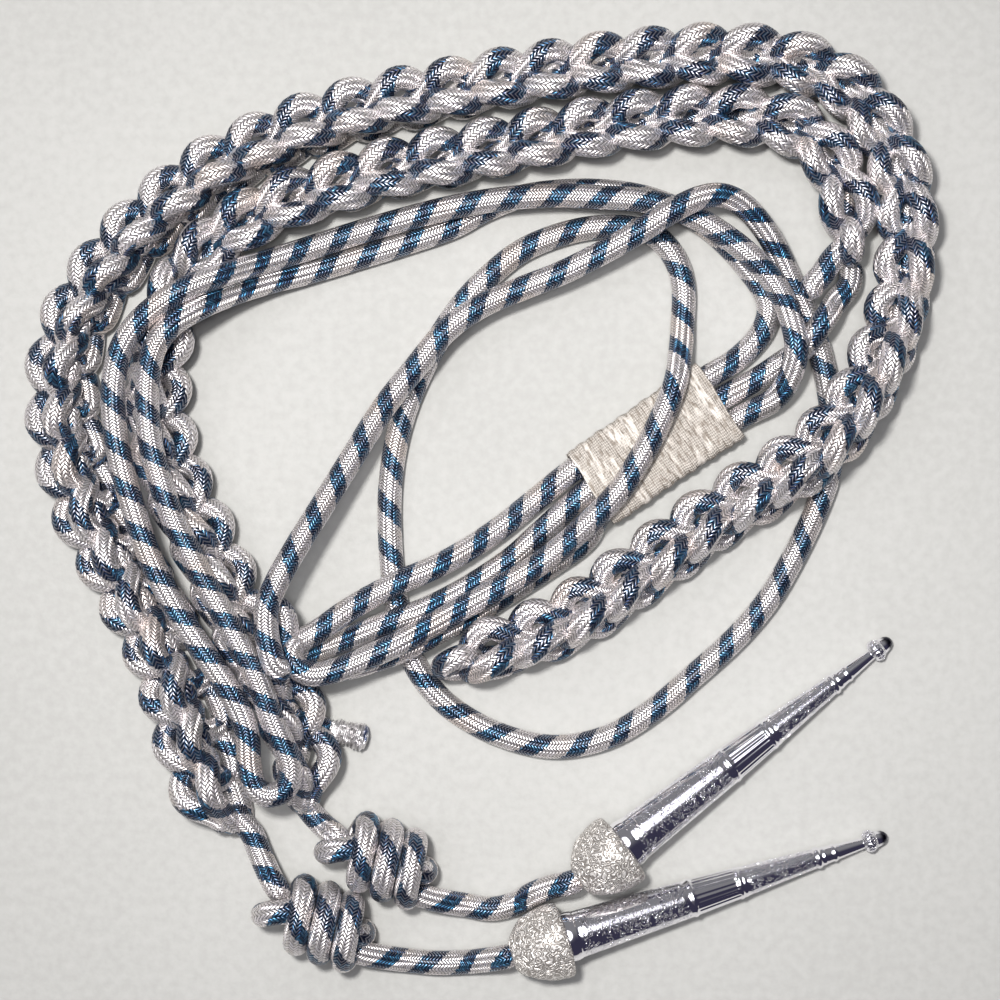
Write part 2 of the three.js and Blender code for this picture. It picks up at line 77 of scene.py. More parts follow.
# Routes: x and y in millimetres, and the level of a cord's middle in cord diameters. A plait's
# rows hold x, y, the level of its underside, its breadth as a share, and its roll in degrees.
LONG_PLAIT = [
    (-63.6, -78.8, 0, 0.62, 15), (-66.6, -72.5, 0, 0.88, 26), (-70.2, -62.5, 0, 1.02, 38),
    (-73.4, -51.5, 0, 1.08, 46), (-77.6, -38.5, 0, 1.04, 50), (-84.0, -26.0, 0, 1.00, 52),
    (-90.4, -14.0, 0, 1.00, 52), (-97.2, -1.0, 0, 1.00, 52), (-101.8, 13.5, 0, 1.00, 52),
    (-103.6, 27.0, 0, 1.00, 50), (-102.2, 39.0, 0, 1.00, 48), (-97.4, 50.0, 0, 1.00, 44),
    (-89.4, 61.2, 0, 1.00, 40), (-79.2, 71.6, 0, 1.00, 36), (-65.4, 81.8, 0, 1.00, 32),
    (-48.6, 89.8, 0, 1.00, 29), (-29.8, 96.2, 0, 1.00, 25), (-9.5, 100.6, 0, 1.00, 19),
    (14.0, 105.2, 0, 1.00, 12), (39.0, 109.0, 0, 1.00, 5), (64.0, 110.4, 0, 1.00, 0),
    (79.2, 108.0, 0, 1.00, -4), (91.0, 101.4, 0, 1.00, -8), (98.8, 91.2, 0, 1.00, -14),
    (103.8, 79.0, 0, 1.00, -20), (105.4, 66.0, 0, 1.00, -26), (104.2, 53.5, 0, 1.00, -32),
    (101.2, 42.5, 0.35, 1.02, -35), (96.2, 32.2, 1.12, 1.02, -37), (90.4, 21.8, 1.14, 1.04, -38),
    (81.0, 11.6, 1.10, 1.06, -39), (70.2, 4.0, 0.30, 1.08, -40), (59.5, -2.5, 0, 1.08, -40),
    (49.5, -9.8, 0, 1.08, -40), (38.5, -17.6, 0, 1.08, -40), (28.5, -25.0, 0, 1.08, -40),
    (17.5, -31.2, 0, 1.08, -38), (6.0, -35.6, 0, 1.05, -34), (-4.5, -38.6, 0, 0.98, -26),
    (-11.0, -39.6, 0, 0.80, -16),
]

SHORT_PLAIT = [
    (-43.8, -73.4, 0, 0.85, -28), (-44.8, -67.0, 0, 1.12, -34), (-47.0, -57.5, 0, 1.18, -40),
    (-51.2, -47.0, 0, 1.12, -45), (-58.0, -35.0, 0, 1.00, -47), (-63.8, -23.5, 0, 1.00, -48),
    (-68.8, -12.0, 0, 1.00, -50), (-74.6, -0.5, 0, 1.00, -50), (-79.6, 11.0, 0, 1.00, -50),
    (-82.0, 23.5, 0, 1.00, -48), (-82.0, 36.0, 0, 1.00, -40), (-79.2, 47.6, 0, 1.00, -26),
    (-73.6, 57.4, 0, 0.98, -11), (-65.0, 65.3, 0, 0.98, 0), (-53.6, 71.8, 0, 0.98, 9),
    (-37.4, 77.2, 0, 1.00, 16), (-20.8, 81.8, 0, 1.00, 19), (-3.0, 85.4, 0, 1.00, 18),
    (15.0, 89.2, 0, 1.00, 14), (33.0, 93.0, 0, 1.00, 8), (51.2, 95.2, 0, 1.00, 3),
    (66.0, 95.2, 0, 1.00, 0), (77.4, 92.0, 0, 0.98, 0), (84.6, 85.2, 0, 0.96, 0),
    (88.4, 76.4, 0, 0.96, 0), (89.8, 68.0, 0, 0.96, 0), (89.6, 61.0, 0, 0.75, 0),
]

RING_CORD = [
    (-51.2, -36.2, 3.82), (-52.4, -30.2, 3.80), (-52.4, -24.4, 3.78), (-50.2, -18.6, 3.62),
    (-45.4, -9.8, 3.35), (-39.8, -0.6, 3.00), (-32.6, 11.2, 2.60), (-24.6, 24.2, 2.25),
    (-16.6, 34.4, 2.05), (-9.2, 43.2, 1.95), (-0.6, 49.2, 1.90), (9.2, 53.4, 1.90),
    (19.0, 57.2, 2.00), (28.8, 62.0, 2.20), (38.2, 67.2, 2.50), (46.0, 72.0, 2.72),
    (52.2, 75.0, 2.62), (57.6, 76.0, 2.30), (62.8, 74.4, 1.85), (67.2, 70.6, 1.40),
    (71.2, 65.4, 1.00), (75.0, 58.4, 0.62), (77.8, 52.6, LYING), (80.6, 46.6, LYING),
    (83.0, 39.8, LYING), (84.8, 32.2, LYING), (86.0, 24.8, LYING), (86.4, 16.0, LYING),
    (85.4, 7.5, LYING), (82.8, 0.0, LYING), (76.6, -13.0, LYING), (70.4, -23.4, LYING),
    (62.4, -32.8, LYING), (52.0, -42.2, LYING), (42.6, -50.2, LYING), (30.6, -57.4, LYING),
    (17.2, -59.9, LYING), (4.0, -57.0, LYING), (-7.0, -51.2, LYING), (-13.4, -45.4, LYING),
    (-17.6, -39.0, LYING), (-20.6, -30.8, LYING), (-22.6, -20.0, LYING), (-23.6, -8.0, LYING),
    (-23.6, 4.0, LYING), (-22.2, 15.0, LYING), (-19.2, 25.5, LYING), (-15.0, 35.0, LYING),
    (-10.0, 44.0, LYING), (-4.5, 51.5, LYING), (2.0, 58.0, LYING), (9.0, 63.4, LYING),
    (17.8, 67.2, LYING), (26.5, 69.2, LYING), (34.5, 69.4, LYING), (41.0, 68.0, LYING),
    (45.2, 64.6, LYING), (48.0, 60.0, LYING), (49.4, 54.0, LYING), (49.2, 46.5, 0.60),
    (48.4, 38.5, 1.10), (46.6, 29.8, OVER_BAND), (42.8, 20.5, OVER_BAND), (38.0, 11.5, OVER_BAND),
    (32.8, 3.5, OVER_BAND), (26.8, -2.8, 1.90), (19.4, -9.6, 1.68), (12.0, -15.2, 1.65),
    (4.8, -19.4, 1.68), (-5.0, -24.8, 1.92), (-13.5, -29.4, 2.34), (-21.0, -33.4, 2.75),
    (-28.5, -36.8, 2.85), (-36.0, -39.8, 2.90), (-42.0, -40.8, 2.95), (-46.0, -38.8, 3.00),
]

PAIR_CORD_IN = [
    (-44.2, -32.6, 2.20), (-39.6, -29.8, 2.10), (-33.0, -25.2, 1.85), (-21.2, -18.8, 1.62),
    (-13.0, -15.4, 1.40), (-5.0, -11.2, 1.00), (3.0, -6.0, 0.70), (12.2, 1.2, LYING),
]

PAIR_CORD = [
    (62.2, 36.2, LYING), (66.4, 40.0, LYING), (69.4, 44.2, LYING), (70.6, 49.2, LYING),
    (69.0, 54.0, LYING), (65.8, 58.6, LYING), (61.0, 64.2, LYING), (54.4, 70.0, LYING),
    (46.6, 74.4, LYING), (38.0, 77.2, LYING), (28.0, 78.4, LYING), (18.0, 78.2, LYING),
    (8.6, 76.8, LYING), (0.0, 73.6, LYING), (-8.0, 69.4, LYING), (-19.0, 65.6, LYING),
    (-32.0, 61.6, LYING), (-44.6, 57.8, 0.70), (-53.6, 55.2, 1.25), (-62.2, 51.8, 2.10),
    (-69.6, 47.8, 3.10), (-75.4, 43.8, 3.50), (-79.4, 38.6, 3.50), (-81.3, 31.0, 3.44),
    (-80.9, 17.0, 3.44), (-78.4, 6.6, 3.44), (-75.2, -3.0, 3.44), (-71.4, -10.6, 3.44),
    (-67.4, -18.6, 3.44), (-62.6, -27.0, 3.44), (-58.2, -35.2, 3.44), (-54.2, -43.2, 3.44),
    (-51.4, -51.4, 3.42), (-48.4, -58.0, 3.38), (-46.8, -64.2, 3.36), (-48.4, -68.6, 3.34),
    (-51.8, -70.4, 3.34), (-55.2, -68.4, 3.34), (-56.8, -62.8, 3.36), (-57.4, -54.4, 3.40),
    (-60.6, -46.4, 3.44), (-66.0, -37.8, 3.44), (-71.6, -29.4, 3.44), (-77.0, -20.2, 3.44),
    (-81.2, -11.2, 3.44), (-84.6, -1.0, 3.44), (-87.4, 8.8, 3.44), (-89.2, 18.6, 3.44),
    (-89.6, 29.4, 3.44), (-87.8, 37.8, 3.44), (-83.8, 44.0, 3.55), (-78.0, 49.0, 3.62),
    (-71.0, 53.0, 3.55), (-63.6, 56.0, 3.10), (-55.2, 59.4, 2.00), (-45.0, 63.0, 1.45),
    (-33.0, 67.0, 1.25), (-17.6, 71.4, 1.30), (-8.6, 73.4, 1.58), (3.0, 75.4, 1.62),
    (16.0, 76.4, 1.62), (28.4, 76.0, 1.62), (40.0, 75.0, 1.62), (50.6, 71.6, 1.60),
    (57.6, 67.6, 1.60), (64.0, 62.8, 1.60), (69.2, 57.6, 1.60), (73.2, 51.6, 1.62),
    (75.2, 45.4, 2.02), (76.2, 38.8, 2.34), (75.2, 32.6, 1.86), (72.0, 26.8, 1.10),
]

PAIR_CORD_OUT = [
    (25.2, -8.2, LYING), (16.0, -15.0, LYING), (7.0, -20.8, LYING), (-2.0, -26.4, 0.60),
    (-10.5, -30.8, 1.05), (-18.0, -34.4, 1.62), (-26.0, -37.6, 1.70), (-35.0, -40.0, 1.75),
]

TAIL_CORD = [
    (90.2, 54.6, 0.90), (86.8, 50.6, 1.15), (83.8, 46.2, 1.68), (81.0, 42.4, 1.70),
    (78.2, 38.6, 1.14), (74.2, 35.9, 0.60), (69.4, 32.6, LYING), (64.6, 29.8, LYING),
]

TAIL_CORD_OUT = [
    (13.4, -7.0, LYING), (7.2, -12.6, 0.54), (-0.9, -18.2, 0.75), (-8.6, -22.6, 1.15),
    (-15.0, -25.6, 1.55), (-21.2, -27.8, 1.64), (-28.0, -30.4, 1.48), (-34.8, -33.2, 1.05),
    (-39.8, -35.0, 0.90),
]

TAIL_BIGHT = [
    (85.6, 60.8, 1.50), (83.0, 57.0, 1.55), (80.8, 54.4, 1.62), (79.4, 50.8, 1.66),
]

FOOT_BIGHT = [
    (-52.2, -23.8, 2.70), (-49.8, -24.4, 2.66), (-48.6, -27.2, 2.62), (-48.3, -30.4, 2.60),
    (-49.4, -33.4, 2.62), (-51.2, -35.0, 2.70),
]

LONG_PLAIT_TAIL = [
    (-57.8, -80.8, 1.00), (-56.2, -84.6, 1.00), (-54.4, -88.4, 1.20), (-51.7, -92.9, 1.72),
]

SHORT_PLAIT_TAIL = [
    (-43.5, -75.5, 0.80), (-40.6, -78.6, 0.90), (-38.2, -80.2, 1.20), (-37.8, -80.2, 1.40),
]

TAG_CORD_1 = [
    (-14.4, -96.6, 1.20), (-10.6, -97.8, 0.95), (-5.0, -99.2, LYING), (1.5, -100.2, LYING),
    (7.4, -98.9, LYING), (12.3, -95.7, 1.08), (17.0, -93.7, 1.40), (20.9, -92.7, 1.62),
]

TAG_CORD_2 = [
    (-29.6, -110.6, 1.20), (-25.8, -111.6, 0.95), (-20.0, -112.9, LYING), (-12.0, -113.6, LYING),
    (-5.0, -113.4, LYING), (0.2, -112.4, 0.95), (4.6, -111.2, 1.45),
]

# Cross section of a plait's solid, to set the strands down at the same level.
PLAIT_SECTION = [
    (0.00, 0.40), (-0.56, 0.51), (-1.00, 0.15), (-0.85, -0.22), (-0.42, -0.49),
    (0.42, -0.49), (0.85, -0.22), (1.00, 0.15), (0.56, 0.51),
]

# Half of one loop of the chain stitch: share of the stitch along the plait, then distance to
# the left and height, in cord diameters. It comes up through the loop before, bulges out to the
# side and closes in a head that lies behind the legs of the loop after.
LOOP = [
    (-0.46, 0.15, -0.95), (-0.30, 0.17, -0.62), (-0.15, 0.20, -0.36), (-0.01, 0.27, -0.08),
    (0.12, 0.39, 0.24), (0.26, 0.57, 0.50), (0.43, 0.73, 0.60), (0.60, 0.79, 0.50),
    (0.77, 0.75, 0.22), (0.91, 0.60, -0.14), (1.03, 0.36, -0.48),
]
LOOP_HEAD = (1.10, 0.0, -0.64)
BACK_BUMP = [(-0.34, -0.16, -1.36), (0.0, 0.0, -1.46), (0.34, 0.16, -1.36)]
LAST_END = [
    (-0.34, -0.16, -1.34), (0.20, 0.0, -1.42), (0.66, 0.10, -1.30), (0.90, 0.05, -0.62),
    (1.00, 0.0, 0.06), (1.18, 0.0, 0.44), (1.44, 0.05, 0.24), (1.56, 0.08, -0.30),
    (1.30, 0.06, -0.80), (0.80, -0.10, -0.70),
]
PLAIT_STEPS = 24           # points that a plait's middle gets between two rows of its table
LOOP_STEPS = 4             # the same for its strand, between two points of a loop
STRAND_RADIUS = 3.1
STRAND_SIDES = 14
STRAND_STEP = 1.25         # from one ring of points to the next along the strand, mm
LOOSE_STITCHES = 10        # stitches at the start of a plait whose back loops hang out
HANG_LONG = 1.1            # how far they hang out of the long plait, in cord diameters
HANG_SHORT = 0.2
HEART_SWAY = 0.22          # side to side sway of the strand that runs back through the plait
HEART_LEVEL = -0.50
LOOP_SHIFT = 0.38          # share of a stitch that the loops are moved along
LOOP_SQUASH = 0.94
LOOP_LIFT = 0.405

ROUTE_STEPS = 12           # points that a cord gets between two rows of its route
CORD_SIDES = 20
CORD_STEP = 1.1            # from one ring of points to the next along a cord, mm
TIGHTEST_BEND = 4.6        # radius of the tightest bend that a plain cord takes, mm
EASE_PASSES = 160
BAND_REACH = 1.0           # from the band's mouth to the next point of a route, mm
END_SHARE = 0.06           # least share of its section that a cord keeps at its rounded end
END_V = 0.02               # where the closing face of an end lies on the braid


# Curves.


def unit(v):
    """Vectors of the same directions with a length of 1."""
    return v / np.maximum(np.linalg.norm(v, axis=-1, keepdims=True), 1e-12)


def arc(path):
    """The distance along the path at each of its points."""
    return np.concatenate([[0], np.cumsum(np.linalg.norm(np.diff(path, axis=0), axis=1))])


def spline(points, per):
    """Centripetal curve through the points, per steps for each stretch between two of them."""
    p = np.asarray(points, float)
    p = np.vstack([2 * p[0] - p[1], p, 2 * p[-1] - p[-2]])
    out = []
    t = np.linspace(0, 1, per, endpoint=False)[:, None]
    for i in range(1, len(p) - 2):
        a, b, c, d = p[i - 1], p[i], p[i + 1], p[i + 2]
        k0, k1, k2 = (math.sqrt(np.linalg.norm(q - r)) for q, r in ((b, a), (c, b), (d, c)))
        m1 = ((b - a) / k0 - (c - a) / (k0 + k1) + (c - b) / k1) * k1
        m2 = ((c - b) / k1 - (d - b) / (k1 + k2) + (d - c) / k2) * k1
        square = (3 * (c - b) - 2 * m1 - m2) * t**2
        out.append(b + m1 * t + square + (2 * (b - c) + m1 + m2) * t**3)
    return np.vstack([*out, p[-2][None]])


def even(path, step):
    """The same path with points an even step apart."""
    s = arc(path)
    want = np.linspace(0, s[-1], max(3, int(round(s[-1] / step)) + 1))
    return np.stack([np.interp(want, s, path[:, k]) for k in range(3)], 1)


def eased(path, tightest):
    """The path with every bend that is tighter than the cord takes rounded off."""
    path = path.copy()
    for _ in range(EASE_PASSES):
        before, after = path[1:-1] - path[:-2], path[2:] - path[1:-1]
        step = 0.5 * (np.linalg.norm(before, axis=1) + np.linalg.norm(after, axis=1))
        bend = np.linalg.norm(unit(after) - unit(before), axis=1) / step
        share = 0.5 * np.clip(bend * tightest - 1, 0, 1)[:, None]
        path[1:-1] += share * (0.5 * (path[:-2] + path[2:]) - path[1:-1])
    return path


def route(rows):
    """A cord's route in metres."""
    return spline([(x * MM, y * MM, level * CORD_D * MM) for x, y, level in rows], ROUTE_STEPS)


def frames(path, lying):
    """Directions down and right across a path, level for a cord that lies, else untwisted."""
    tangent = unit(np.gradient(path, axis=0))
    down = np.zeros_like(path)
    ref = np.array([0.0, 0.0, -1.0])
    for i, t in enumerate(tangent):
        if lying:
            ref = np.array([0.0, 0.0, -1.0])
        ref = unit(ref - t * np.dot(ref, t))
        down[i] = ref
    return down, np.cross(down, tangent)


def turned_place(x, y, z, heading, tilt=0.0):
    """Carries points from a piece's own axes to the scene: +X along the piece, tilted down."""
    h, t = math.radians(heading), math.radians(tilt)
    turn = np.array([[math.cos(h), -math.sin(h), 0], [math.sin(h), math.cos(h), 0], [0, 0, 1]])
    dip = np.array([[math.cos(t), 0, math.sin(t)], [0, 1, 0], [-math.sin(t), 0, math.cos(t)]])
    return lambda p: (np.asarray(p) @ (turn @ dip).T + (x, y, z)) * MM


# Meshes.


def add_object(name, data):
    """A new object in the scene."""
    obj = bpy.data.objects.new(name, data)
    bpy.context.scene.collection.objects.link(obj)
    return obj


def make_mesh(name, points, faces, uvs, material):
    """One smooth mesh with a UV corner for each face corner."""
    mesh = bpy.data.meshes.new(name)
    mesh.from_pydata([tuple(p) for p in points], [], [tuple(f) for f in faces])
    layer = mesh.uv_layers.new(name="lay")
    layer.data.foreach_set("uv", np.asarray(uvs, np.float32).ravel())
    mesh.polygons.foreach_set("use_smooth", np.ones(len(mesh.polygons), bool))
    mesh.materials.append(material)
    mesh.update()
    return add_object(name, mesh)


def tube(name, path, radius, sides, material, lying=True):
    """A cord with rounded ends: u is the length along it in millimetres, v the share of a turn
    from its underside."""
    down, right = frames(path, lying)
    s = arc(path) / MM
    near = np.minimum(s, s[-1] - s) * MM
    rounded = 1 - (1 - np.clip(near / radius, 0, 1)) ** 2
    radii = radius * np.sqrt(np.clip(rounded, END_SHARE, 1))
    angle = np.linspace(0, 2 * np.pi, sides, endpoint=False)[None, :, None]
    ring = np.cos(angle) * down[:, None] + np.sin(angle) * right[:, None]
    points = (path[:, None] + radii[:, None, None] * ring).reshape(-1, 3)
    faces, uvs = [], []
    for r in range(len(path) - 1):
        for i in range(sides):
            a, b = r * sides + i, r * sides + (i + 1) % sides
            faces.append((a, a + sides, b + sides, b))
            v0, v1 = i / sides, (i + 1) / sides
            uvs += [(s[r], v0), (s[r + 1], v0), (s[r + 1], v1), (s[r], v1)]
    last = (len(path) - 1) * sides
    faces.append(tuple(range(sides)))
    uvs += [(0, END_V)] * sides
    faces.append(tuple(last + i for i in reversed(range(sides))))
    uvs += [(s[-1], END_V)] * sides
    return make_mesh(name, points, faces, uvs, material)


def turned(name, outline, step, sides, carry, material, swell):
    """A turned piece along its own +X, closed at both ends: u is the distance along it in
    millimetres, v the share of a turn. swell is what its radius gains at each point."""
    outline = np.asarray(outline, float)
    run = arc(outline)
    want = np.unique(np.concatenate([run, np.arange(0, run[-1], step)]))
    along, radius = np.interp(want, run, outline[:, 0]), np.interp(want, run, outline[:, 1])
    angle = np.linspace(0, 2 * np.pi, sides, endpoint=False)
    reach = np.repeat(radius[:, None], sides, 1)
    reach = reach + swell(along[:, None], angle[None, :], reach)
    station = np.repeat(along[:, None], sides, 1)
    points = np.stack([station, reach * np.cos(angle), reach * np.sin(angle)], 2)
    faces, uvs = [], []
    for r in range(len(want) - 1):
        for i in range(sides):
            a, b = r * sides + i, r * sides + (i + 1) % sides
            faces.append((a, b, b + sides, a + sides))
            v0, v1 = i / sides, (i + 1) / sides
            uvs += [(along[r], v0), (along[r], v1), (along[r + 1], v1), (along[r + 1], v0)]
    last = (len(want) - 1) * sides
    faces.append(tuple(reversed(range(sides))))
    uvs += [(along[0], 0)] * sides
    faces.append(tuple(last + i for i in range(sides)))
    uvs += [(along[-1], 0)] * sides
    return make_mesh(name, carry(points.reshape(-1, 3)), faces, uvs, material)


def dress(piece, node):
    """The piece rides on the one body and takes the place of its node."""
    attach(piece, "root")
    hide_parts(node)


# Materials.


class Nodes:
    """A small helper that writes the node tree of a material or a world."""

    def __init__(self, owner):
        owner.use_nodes = True
        self.owner = owner
        self.tree = owner.node_tree

    def link(self, value, socket):
        """The socket takes what another node gives, or else a plain value."""
        if isinstance(value, bpy.types.NodeSocket):
            self.tree.links.new(value, socket)
        else:
            socket.default_value = value

    def add(self, kind, out=0, settings=None, **inputs):
        """What a new node gives, with its inputs by name and a low line for each space."""
        node = self.tree.nodes.new(kind)
        for key, value in (settings or {}).items():
            setattr(node, key, value)
        for key, value in inputs.items():
            self.link(value, node.inputs[key.replace("_", " ")])
        return node.outputs[out]

    def math(self, operation, *values):
        node = self.tree.nodes.new("ShaderNodeMath")
        node.operation = operation
        for i, value in enumerate(values):
            self.link(value, node.inputs[i])
        return node.outputs[0]

    def times(self, first, *others):
        for other in others:
            first = self.math("MULTIPLY", first, other)
        return first

    def plus(self, first, *others):
        for other in others:
            first = self.math("ADD", first, other)
        return first

    def minus(self, a, b):
        return self.math("SUBTRACT", a, b)

    def hump(self, share):
        """Rises from 0 to 1 and falls back to 0 while share goes from 0 to 1."""
        return self.times(share, self.minus(1.0, share), 4.0)

    def wave(self, value):
        """Goes up and down between 0 and 0.5, once for each whole step of the value."""
        return self.math("PINGPONG", value, 0.5)

    def ramp(self, value, low, high):
        """Goes smoothly from 0 at low to 1 at high."""
        node = self.tree.nodes.new("ShaderNodeMapRange")
        node.interpolation_type = "SMOOTHSTEP"
        self.link(value, node.inputs["Value"])
        node.inputs["From Min"].default_value = low
        node.inputs["From Max"].default_value = high
        return node.outputs[0]

    def mix(self, share, a, b):
        """Colour a where share is 0 and colour b where it is 1."""
        node = self.tree.nodes.new("ShaderNodeMix")
        node.data_type = "RGBA"
        self.link(share, node.inputs[0])
        self.link(a, node.inputs[6])
        self.link(b, node.inputs[7])
        return node.outputs[2]

    def dot(self, a, b):
        node = self.tree.nodes.new("ShaderNodeVectorMath")
        node.operation = "DOT_PRODUCT"
        self.link(a, node.inputs[0])
        self.link(b, node.inputs[1])
        return node.outputs["Value"]

    def point(self, x, y, z=0.0):
        return self.add("ShaderNodeCombineXYZ", X=x, Y=y, Z=z)

    def own_place(self):
        """The place of a point on the object's own axes, in metres."""
        return self.add("ShaderNodeTexCoord", out=3)

    def noise(self, place, scale, detail, distortion=0.0):
        return self.add(
            "ShaderNodeTexNoise", Vector=place, Scale=scale, Detail=detail, Distortion=distortion
        )

    def uv(self):
        node = self.tree.nodes.new("ShaderNodeUVMap")
        node.uv_map = "lay"
        split = self.tree.nodes.new("ShaderNodeSeparateXYZ")
        self.tree.links.new(node.outputs[0], split.inputs[0])
        return split.outputs[0], split.outputs[1]

    def bump(self, height, distance, strength=1.0):
        """Stands out by the distance, in metres, where the height is 1."""
        return self.add("ShaderNodeBump", Strength=strength, Distance=distance, Height=height)

    def finish(self, shader="Principled BSDF", **sockets):
        """Sets the shader's sockets and gives back the material or the world."""
        for key, value in sockets.items():
            self.link(value, self.tree.nodes[shader].inputs[key.replace("_", " ")])
        return self.owner


def new_material(name):
    """The node tree of a new material, ready to be written."""
    return Nodes(bpy.data.materials.new(name))


YARN = 0.78          # along the cord from one yarn to the next, mm
COLUMNS = 16         # columns of slanted yarns round the cord
SLANT = 1.15         # yarns gained across a column
MARK_PITCH = 11.0    # from one blue mark to the next, mm
MARK_SHARE = 0.43    # of the cord that is blue
PLAIT_SHARE = 0.37   # the same where the cord is plaited
MARK_TURN = 1.45     # mark pitches gained in one turn round the cord
STEPPED = 0.55       # share of that gain that comes in steps, column by column
RAGGED = 0.035       # mark pitches by which single yarns end before the rest
GLINT_TEETH = 0.45         # painted glints on the crowns of the blue yarns, mostly at a mark's flanks
PLAIT_GLINT_TEETH = 0.26
BRAID_BUMP = 0.00026  # how far the yarns stand out, m
FLOOR_BUMP = 0.0004

SILVER_LOW, SILVER_HIGH = (0.78, 0.74, 0.725, 1), (1.0, 0.955, 0.985, 1)
SILVER_WARM = (0.93, 0.79, 0.70, 1)
# Painted shade: the colour that the silver takes in the gaps between its yarns.
SILVER_GAP_SHADE = (0.21, 0.19, 0.18, 1)
BLUE_LOW, BLUE_HIGH = (0.008, 0.020, 0.055, 1), (0.06, 0.23, 0.40, 1)
# Painted shade: the darker blue on a cord's sides, away from its top.
BLUE_SIDE_SHADE = (0.012, 0.012, 0.035, 1)
# Painted glint: the pale colour painted on the crowns of the blue yarns.
TOOTH_GLINT = (0.72, 0.70, 0.76, 1)


def braid_material(name, glint_teeth, blue_share):
    """Herringbone braid of silver wire with slanted marks of dark blue wire; painted shade and
    glints.
    """
    n = new_material(name)
    u, v = n.uv()
    column = n.times(v, COLUMNS)
    slant = n.times(n.math("PINGPONG", column, 1.0), SLANT)
    phase = n.plus(n.math("DIVIDE", u, YARN), slant)
    crown = n.hump(n.math("FRACT", phase))
    belly = n.hump(n.math("FRACT", column))
    height = n.times(n.math("POWER", crown, 0.7), n.plus(n.times(belly, 0.45), 0.55))
    # Painted shade: the low ground between the yarns' crowns, darkened in the silver and in the
    # blue.
    gap_shade = n.ramp(height, 0.14, 0.66)
    yarn = n.point(n.math("FLOOR", phase), n.math("FLOOR", column))
    fleck = n.add("ShaderNodeTexWhiteNoise", settings={"noise_dimensions": "2D"}, Vector=yarn)
    warm = n.noise(n.point(n.times(u, 0.07), v), 1.0, 1.0)
    silver = n.mix(fleck, SILVER_LOW, SILVER_HIGH)
    silver = n.mix(n.times(n.ramp(warm, 0.50, 0.72), 0.55), silver, SILVER_WARM)
    silver = n.mix(gap_shade, SILVER_GAP_SHADE, silver)
    # Marks: parallelograms that lean forward towards the left, with an edge stepped by column.
    stepped = n.math("DIVIDE", n.plus(n.math("FLOOR", column), 0.5), COLUMNS)
    lean = n.times(n.plus(n.times(v, 1 - STEPPED), n.times(stepped, STEPPED)), MARK_TURN)
    along = n.plus(n.math("DIVIDE", u, MARK_PITCH), n.times(fleck, RAGGED))
    mark = n.math("LESS_THAN", n.math("FRACT", n.minus(along, lean)), blue_share)
    # Painted shade and glints: 0 along a cord's top and 1 on its sides, where the blue is darkened
    # and more glints are painted.
    side_shade_and_glint = n.ramp(n.math("ABSOLUTE", n.minus(v, 0.5)), 0.07, 0.15)
    # Painted glints: pale flecks on the crowns of the blue yarns, few on a cord's top and more on
    # its sides.
    tooth_glint = n.times(n.ramp(crown, 0.80, 0.98), n.plus(n.times(side_shade_and_glint, glint_teeth), 0.10))
    # Painted shade: the blue darkens in the gaps between the yarns; its brightness also differs at
    # random from yarn to yarn.
    blue = n.mix(n.times(fleck, fleck, gap_shade), BLUE_LOW, BLUE_HIGH)
    blue = n.mix(n.times(side_shade_and_glint, 0.45), blue, BLUE_SIDE_SHADE)
    blue = n.mix(tooth_glint, blue, TOOTH_GLINT)
    return n.finish(
        Base_Color=n.mix(mark, silver, blue), Metallic=0.90, Roughness=0.34,
        Normal=n.bump(height, BRAID_BUMP), Coat_Weight=0.10, Coat_Roughness=0.25,
    )


def floor_material():
    """Plain pale paper with a fine grain."""
    n = new_material("paper_floor")
    place = n.own_place()
    fine = n.noise(place, 420.0, 3.0)
    broad = n.noise(place, 9.0, 2.0)
    tone = n.plus(n.times(fine, 0.6), n.times(broad, 0.4))
    colour = n.mix(n.ramp(tone, 0.3, 0.7), (0.350, 0.348, 0.334, 1), (0.394, 0.392, 0.378, 1))
    return n.finish(Base_Color=colour, Roughness=0.95, Normal=n.bump(fine, FLOOR_BUMP, 0.3))


braid = braid_material("silver_braid", GLINT_TEETH, MARK_SHARE)
plait_braid = braid_material("plaited_braid", PLAIT_GLINT_TEETH, PLAIT_SHARE)


# Cords.

# Short ends tucked into the neighbouring piece.
TUCK_IN = {
    "ring_cord": [(-46.8, -40.4, 3.50), (-50.0, -39.2, 3.74)],
    "pair_cord": [(-48.0, -34.6, 2.42)],
    "tail_cord": [(91.2, 61.0, 0.62)],
    "tail_bight": [(89.8, 66.4, 1.30), (88.4, 63.8, 1.44)],
    "long_plait_tail": [(-63.0, -74.0, 1.15), (-60.6, -77.6, 1.05)],
    "short_plait_tail": [(-46.6, -69.6, 1.00), (-45.2, -72.6, 0.85)],
    "tag_cord_1": [(-19.0, -94.4, 1.50)],
    "tag_cord_2": [(-34.0, -109.0, 1.45)],
}
TUCK_OUT = {
    "ring_cord": [(-48.4, -36.2, 2.98), (-47.6, -33.6, 2.80), (-44.8, -32.6, 2.50)],
    "pair_cord": [(-40.2, -40.6, 1.85)],
    "tail_cord": [(-44.2, -36.8, 1.15), (-46.6, -38.0, 1.40)],
    "long_plait_tail": [(-49.0, -96.6, 1.80)],
    "short_plait_tail": [(-34.2, -83.4, 1.70)],
    "tag_cord_1": [(24.4, -91.0, 1.62)],
    "tag_cord_2": [(8.2, -110.0, 1.60)],
}


def band_point(along, left, level):
    """A row of a route, from a place on the band's own axes."""
    x, y, heading = BAND_PLACE
    c, s = math.cos(math.radians(heading)), math.sin(math.radians(heading))
    return (x + along * c - left * s, y + along * s + left * c, level)


def through_band(left):
    """The rows of a route from before the band's one mouth to past the other."""
    reach = 0.5 * BAND_LENGTH + BAND_REACH
    return [band_point(along, left, BAND_LEVEL) for along in (-reach, 0.0, reach)]


